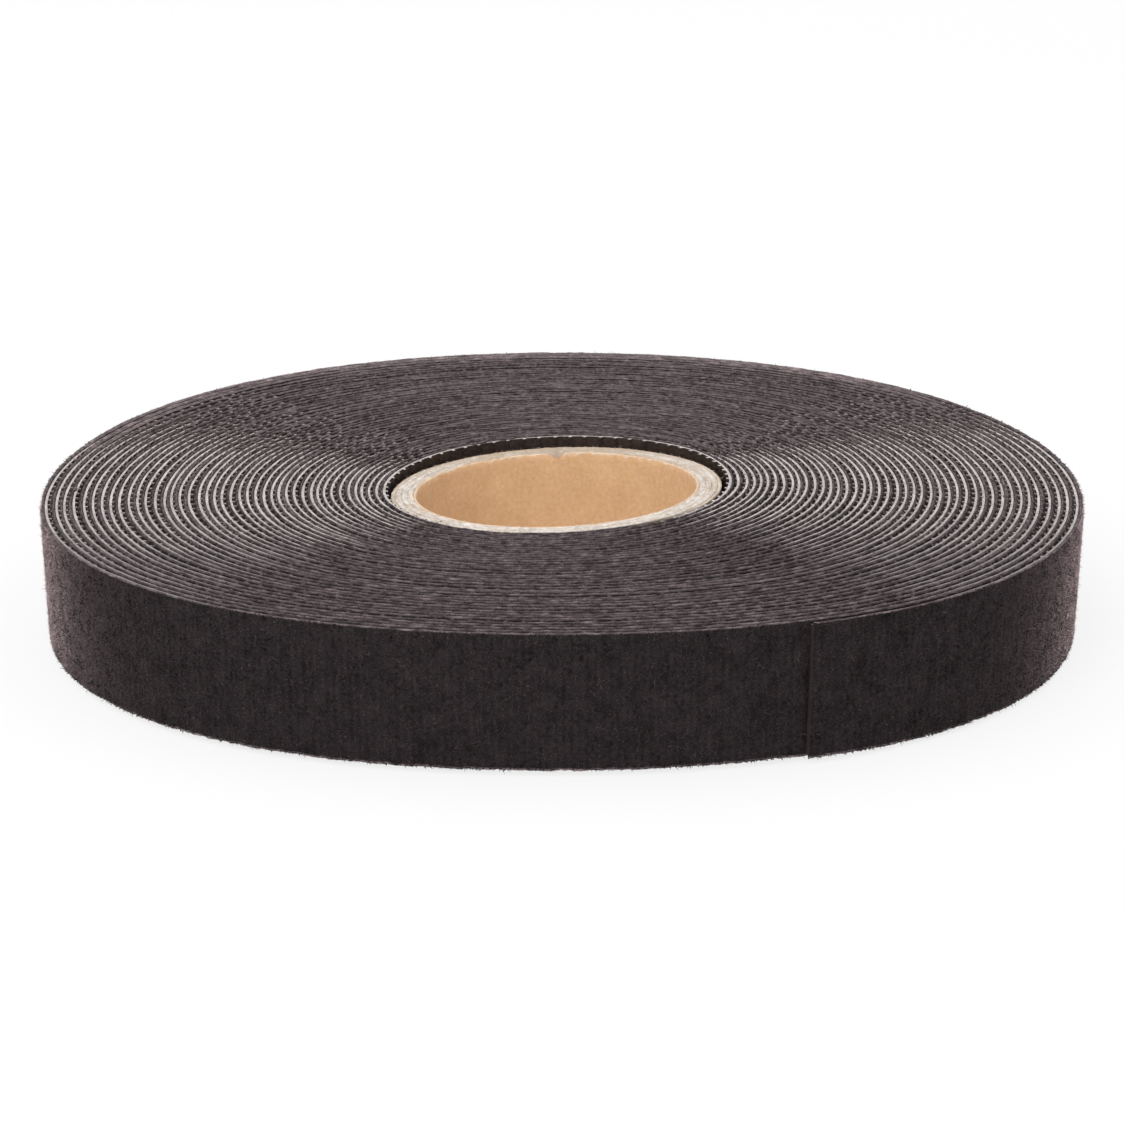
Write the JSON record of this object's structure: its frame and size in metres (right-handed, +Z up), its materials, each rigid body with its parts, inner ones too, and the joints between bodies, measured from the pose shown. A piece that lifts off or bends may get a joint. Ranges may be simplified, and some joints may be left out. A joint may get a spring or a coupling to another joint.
{
  "type": "hook and loop tape roll",
  "caption": "Flat roll of double-sided hook and loop tape wound on a paper core, pile side out, with a free end that peels away from the roll.",
  "frame": {"origin": "centre of the roll on the surface that it lies on", "axes": "+Z up along the core's axis; the picture looks along +Y, with the tape's cut end at the front right"},
  "size_m": [0.1574, 0.1563, 0.02],
  "materials": {
    "loop_pile": "fuzzy charcoal loop pile",
    "hook_film": "moulded hook film, pale where its edges are slit",
    "kraft_paper": "uncoated brown kraft",
    "grey_board": "cut grey-white board plies"
  },
  "bodies": {
    "roll": {"core_liner": "kraft_paper", "core_board_inner": "grey_board", "core_board_middle": "grey_board", "core_board_outer": "grey_board", "core_wrap": "kraft_paper", "wound_hooks": "hook_film", "wound_pile": "loop_pile"},
    "free_end_root": {"free_end_root_hooks": "hook_film", "free_end_root_pile": "loop_pile"},
    "free_end_middle": {"free_end_middle_hooks": "hook_film", "free_end_middle_pile": "loop_pile"},
    "free_end_tip": {"free_end_tip_hooks": "hook_film", "free_end_tip_pile": "loop_pile"}
  },
  "joints": [
    {"name": "peel_root", "type": "hinge", "parent": "roll", "child": "free_end_root", "pos_m": [0.0662, -0.04433, 0.01], "axis": [0, 0, 1], "range_deg": [0, 30]},
    {"name": "peel_middle", "type": "hinge", "parent": "free_end_root", "child": "free_end_middle", "pos_m": [0.05712, -0.05563, 0.01], "axis": [0, 0, 1], "range_deg": [0, 30]},
    {"name": "peel_tip", "type": "hinge", "parent": "free_end_middle", "child": "free_end_tip", "pos_m": [0.04614, -0.06511, 0.01], "axis": [0, 0, 1], "range_deg": [0, 30]}
  ],
  "couplings": [
    {"joint": "peel_middle", "follows": "peel_root", "ratio": 1},
    {"joint": "peel_tip", "follows": "peel_root", "ratio": 1}
  ]
}
